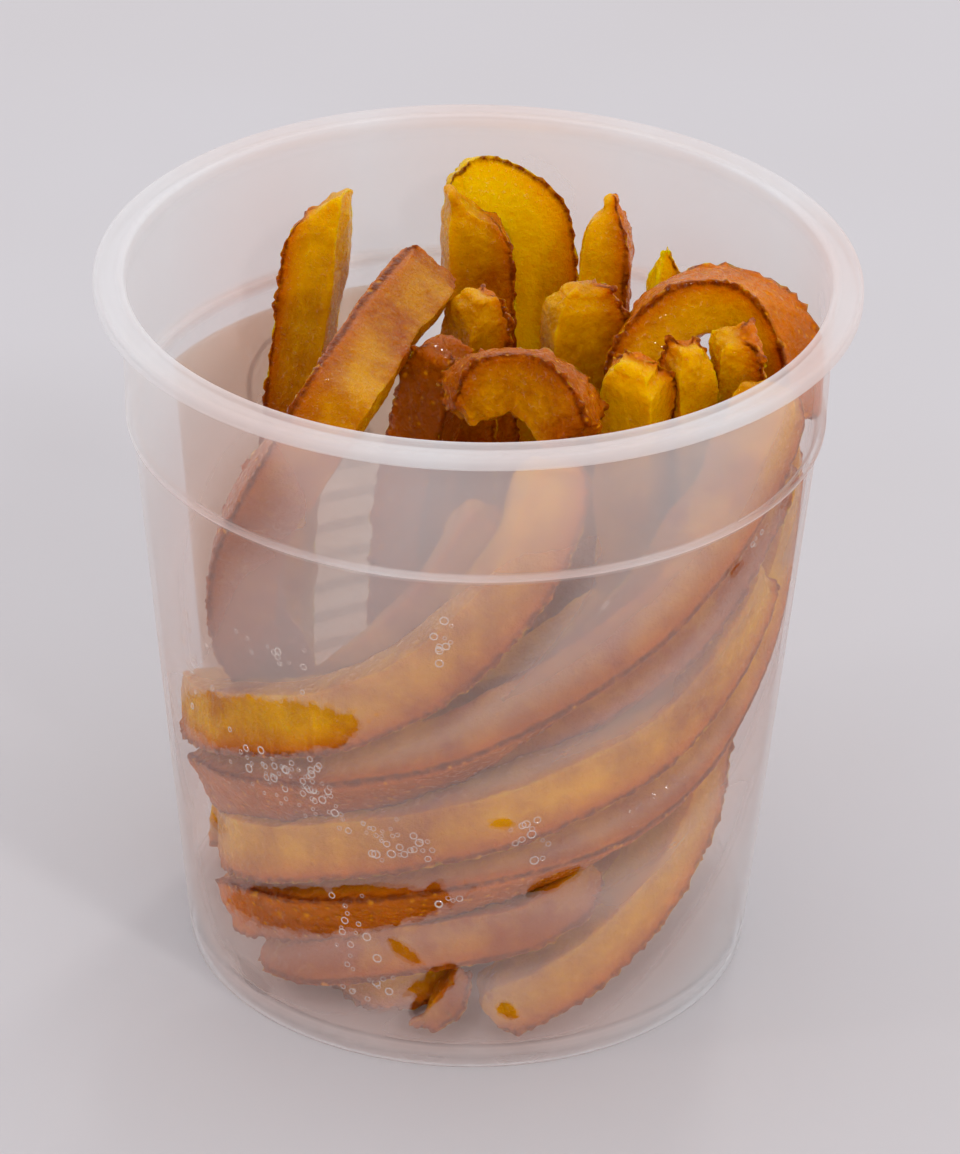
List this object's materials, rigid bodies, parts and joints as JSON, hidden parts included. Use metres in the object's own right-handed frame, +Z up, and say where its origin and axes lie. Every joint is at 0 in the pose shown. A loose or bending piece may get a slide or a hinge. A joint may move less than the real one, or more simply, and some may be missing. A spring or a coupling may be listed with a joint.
{
  "type": "tub of candied orange peel",
  "caption": "Open clear plastic food tub filled with long strips of candied orange peel, with a blank paper label on the back.",
  "frame": {"origin": "centre of the tub's foot, on the surface it stands on", "axes": "+Z up along the tub's axis; -Y is the front, where the peel shows best; the label is at the back left"},
  "size_m": [0.101, 0.101, 0.1],
  "materials": {
    "clear_tub": "hazy injection-moulded polypropylene",
    "label_paper": "uncoated paper sticker, unprinted but for plain faint bars",
    "candied_peel": "candied orange peel, translucent pith and pitted rind under a sticky syrup coat"
  },
  "bodies": {
    "root": {"tub": "clear_tub", "label": "label_paper", "peel_01": "candied_peel", "peel_02": "candied_peel", "peel_03": "candied_peel", "peel_04": "candied_peel", "peel_05": "candied_peel", "peel_06": "candied_peel", "peel_07": "candied_peel", "peel_08": "candied_peel", "peel_09": "candied_peel", "peel_10": "candied_peel", "peel_11": "candied_peel", "peel_12": "candied_peel", "peel_13": "candied_peel", "peel_14": "candied_peel", "peel_15": "candied_peel", "peel_16": "candied_peel", "peel_17": "candied_peel", "peel_18": "candied_peel", "peel_19": "candied_peel", "peel_20": "candied_peel", "peel_21": "candied_peel", "peel_22": "candied_peel", "peel_23": "candied_peel", "peel_24": "candied_peel", "peel_25": "candied_peel", "peel_26": "candied_peel", "peel_27": "candied_peel", "peel_28": "candied_peel", "peel_29": "candied_peel", "peel_30": "candied_peel", "peel_31": "candied_peel", "peel_32": "candied_peel", "peel_33": "candied_peel", "peel_34": "candied_peel"}
  },
  "joints": []
}
